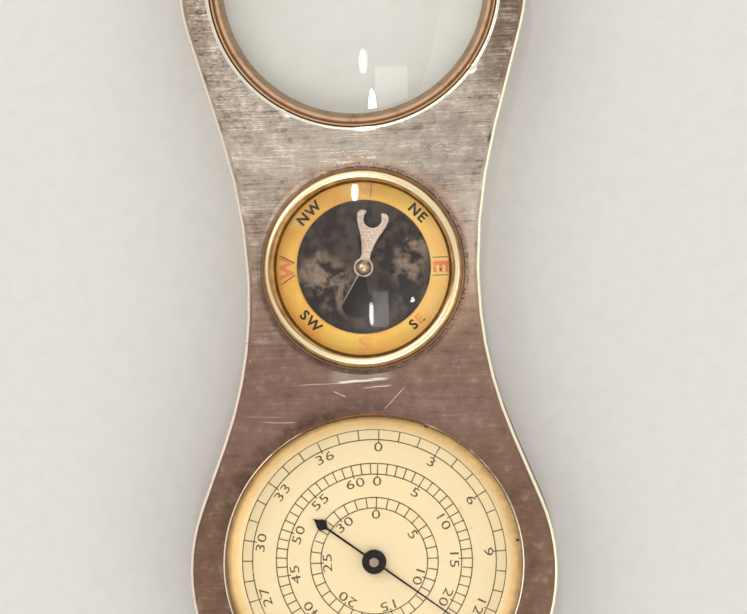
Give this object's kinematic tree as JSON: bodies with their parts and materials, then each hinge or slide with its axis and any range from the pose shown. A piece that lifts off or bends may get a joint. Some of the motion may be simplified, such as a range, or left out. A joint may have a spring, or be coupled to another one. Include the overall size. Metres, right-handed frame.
{
  "type": "opisometer map measurer",
  "caption": "Waisted pocket case with a reading lens, a pivoted compass needle and a geared map-measuring dial driven by a serrated wheel at its end.",
  "frame": {"origin": "on the compass axis, at the outer face of the back plate", "axes": "+Y towards the reading lens along the case, +Z out of the dial face, +X across the case to the right of the dial"},
  "size_m": [0.045, 0.1171, 0.0105],
  "materials": {
    "front_metal": "worn horizontally brushed nickel silver with brown patina",
    "band_metal": "polished nickel silver rim",
    "back_metal": "worn brushed nickel silver",
    "lip_metal": "bright polished lip",
    "bezel_brass": "polished brass, worn",
    "inner_brass": "turned brass",
    "ring_tan": "lacquered copper-brown brass",
    "slope_gilt": "gilt, golden brown",
    "solder": "dark pitted soft solder",
    "glass": "clear, polished",
    "disc_black": "gloss black enamel, mottled",
    "letter_ring": "aged amber celluloid with printed letters",
    "dial_card": "aged cream card with printed scales",
    "hand_black": "gloss black",
    "needle_metal": "tarnished silvered north end, blackened south end",
    "cap_bronze": "bronze brown",
    "arbor_steel": "turned steel",
    "screw_steel": "slotted heads, worn",
    "wheel_metal": "serrated nickel silver"
  },
  "bodies": {
    "case": {"front_plate": "front_metal", "side_band": "band_metal", "back_plate": "back_metal", "back_screws": "screw_steel", "case_posts": "inner_brass", "lens_cell": "lip_metal", "lens_front_ring": "ring_tan", "lens_back_ring": "ring_tan", "lens": "glass", "compass_case": "inner_brass", "compass_disc": "disc_black", "compass_letter_ring": "letter_ring", "compass_spacer_ring": "inner_brass", "compass_glass": "glass", "compass_bezel": "bezel_brass", "compass_solder": "solder", "compass_pivot_post": "arbor_steel", "dial": "dial_card", "dial_sloping_ring": "slope_gilt", "dial_glass": "glass", "movement_front_plate": "inner_brass", "movement_back_plate": "inner_brass", "movement_pillars": "inner_brass", "movement_screws": "screw_steel"},
    "hand_group": {"hand": "hand_black", "hand_boss": "hand_black", "middle_arbor": "arbor_steel", "centre_gear": "inner_brass"},
    "lower_group": {"lower_arbor": "arbor_steel", "lower_gear": "inner_brass", "upper_pinion": "arbor_steel"},
    "wheel_group": {"wheel_arbor": "arbor_steel", "wheel_pinion": "arbor_steel", "measuring_wheel": "wheel_metal"},
    "needle_group": {"compass_needle": "needle_metal", "needle_cap": "cap_bronze"}
  },
  "joints": [
    {"name": "hand_spin", "type": "hinge", "parent": "case", "child": "hand_group", "pos_m": [0, -0.0362, 0.004], "axis": [0, 0, -1], "continuous": true},
    {"name": "lower_spin", "type": "hinge", "parent": "case", "child": "lower_group", "pos_m": [0, -0.04798, 0.004], "axis": [0, 0, -1], "continuous": true},
    {"name": "wheel_spin", "type": "hinge", "parent": "case", "child": "wheel_group", "pos_m": [0, -0.05721, 0.004], "axis": [0, 0, -1], "continuous": true},
    {"name": "needle_swing", "type": "hinge", "parent": "case", "child": "needle_group", "pos_m": [0, 0, 0.006], "axis": [0, 0, 1], "continuous": true}
  ],
  "couplings": [
    {"joint": "lower_spin", "follows": "hand_spin", "ratio": -6.4},
    {"joint": "wheel_spin", "follows": "hand_spin", "ratio": 40}
  ]
}
